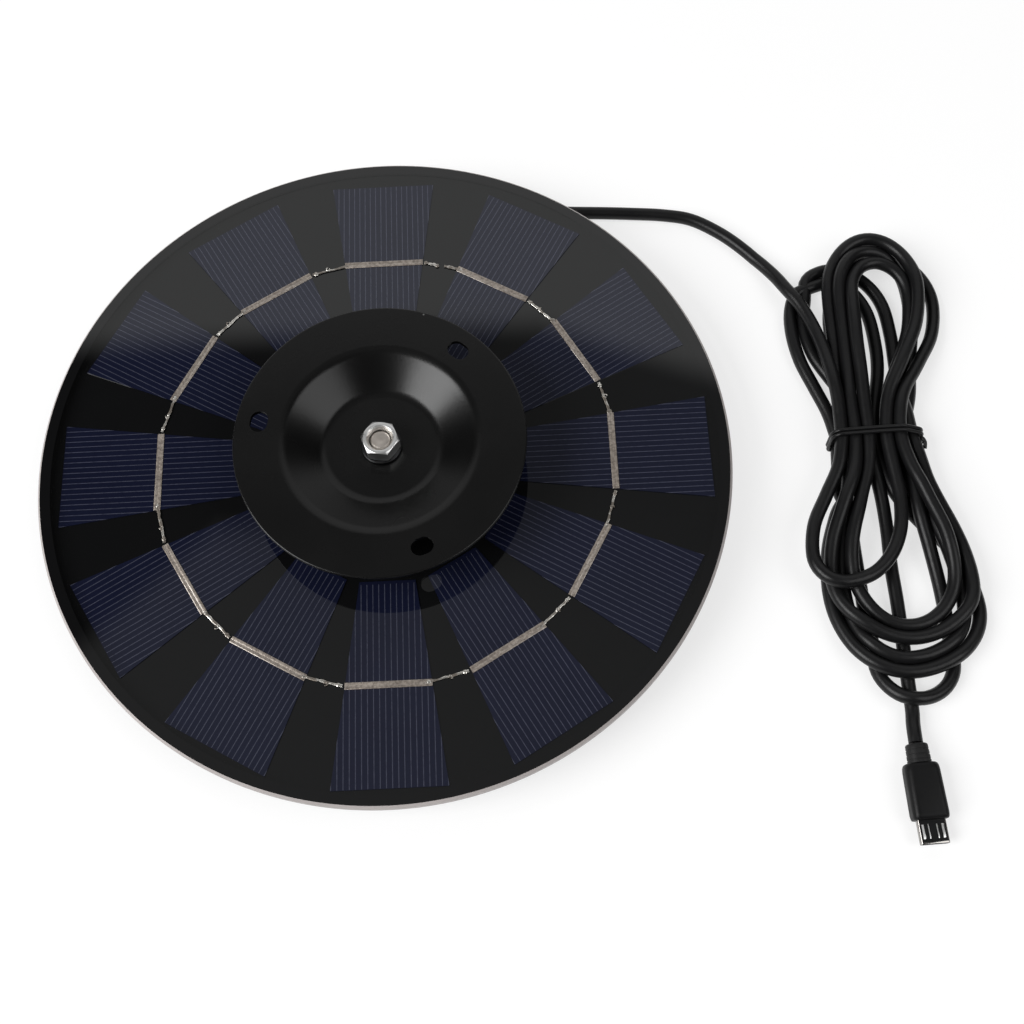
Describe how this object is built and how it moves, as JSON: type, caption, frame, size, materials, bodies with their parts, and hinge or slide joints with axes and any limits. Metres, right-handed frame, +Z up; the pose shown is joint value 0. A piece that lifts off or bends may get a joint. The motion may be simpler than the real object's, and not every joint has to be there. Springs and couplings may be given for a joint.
{
  "type": "round solar panel with lead",
  "caption": "Round glass solar panel on a low stand, with a pressed centre flange held by a nut and a long tied USB lead.",
  "frame": {"origin": "centre of the panel on the surface that its feet stand on", "axes": "+Z up through the stud, out of the glass; +X towards the tied lead; the plug points along -Y"},
  "size_m": [0.2388, 0.1877, 0.0262],
  "materials": {
    "glass": "clear toughened glass, polished, with a ground edge",
    "laminate": "black film, seen through glass",
    "silicon": "dark blue silicon with fine printed fingers",
    "tinned": "tinned copper ribbon with solder",
    "flange_paint": "satin black powder coat on pressed steel",
    "zinc": "bright zinc plate",
    "stud_steel": "plain steel",
    "black_steel": "black oxide",
    "housing_abs": "fine textured black ABS",
    "rubber": "matt black rubber",
    "nylon": "moulded black nylon",
    "cord_jacket": "satin black PVC jacket",
    "board": "green solder mask",
    "component": "moulded electronic component",
    "red_wire": "PVC insulation",
    "black_wire": "PVC insulation"
  },
  "bodies": {
    "panel": {"back_sheet": "laminate", "cable_gland": "rubber", "cell_01": "silicon", "cell_02": "silicon", "cell_03": "silicon", "cell_04": "silicon", "cell_05": "silicon", "cell_06": "silicon", "cell_07": "silicon", "cell_08": "silicon", "cell_09": "silicon", "cell_10": "silicon", "cell_11": "silicon", "cell_12": "silicon", "centre_bush": "nylon", "cover_screw_1": "black_steel", "cover_screw_2": "black_steel", "cover_screw_3": "black_steel", "cover_screw_4": "black_steel", "encapsulant_film": "laminate", "foot_1": "rubber", "foot_2": "rubber", "foot_3": "rubber", "foot_4": "rubber", "front_glass": "glass", "glass_gasket": "rubber", "hank_tie": "black_wire", "housing": "housing_abs", "housing_gasket": "rubber", "inductor": "component", "lead_hank": "cord_jacket", "lead_out": "cord_jacket", "lead_tail": "cord_jacket", "minus_wire": "black_wire", "plug_body": "housing_abs", "plug_relief": "rubber", "plug_shell": "stud_steel", "plug_tongue": "component", "plus_wire": "red_wire", "rear_cover": "housing_abs", "regulator_board": "board", "regulator_chip": "component", "ribbon_01": "tinned", "ribbon_02": "tinned", "ribbon_03": "tinned", "ribbon_04": "tinned", "ribbon_05": "tinned", "ribbon_06": "tinned", "ribbon_07": "tinned", "ribbon_08": "tinned", "ribbon_09": "tinned", "ribbon_10": "tinned", "ribbon_11": "tinned", "ribbon_12": "tinned", "spacer": "nylon", "string_return_tab": "tinned", "stud": "stud_steel"},
    "flange": {"flange": "flange_paint"},
    "washer": {"nut_washer": "black_steel"},
    "nut": {"hex_nut": "zinc"}
  },
  "joints": [
    {"name": "flange_swivel", "type": "hinge", "parent": "panel", "child": "flange", "pos_m": [0, 0, 0.02065], "axis": [0, 0, 1], "continuous": true},
    {"name": "nut_travel", "type": "slide", "parent": "panel", "child": "washer", "axis": [0, 0, 1], "range_m": [0, 0.0024]},
    {"name": "nut_spin", "type": "hinge", "parent": "washer", "child": "nut", "pos_m": [0, 0, 0.02625], "axis": [0, 0, 1], "range_deg": [0, 1080]}
  ],
  "couplings": [
    {"joint": "nut_spin", "follows": "nut_travel", "rad_per_m": 7854}
  ]
}
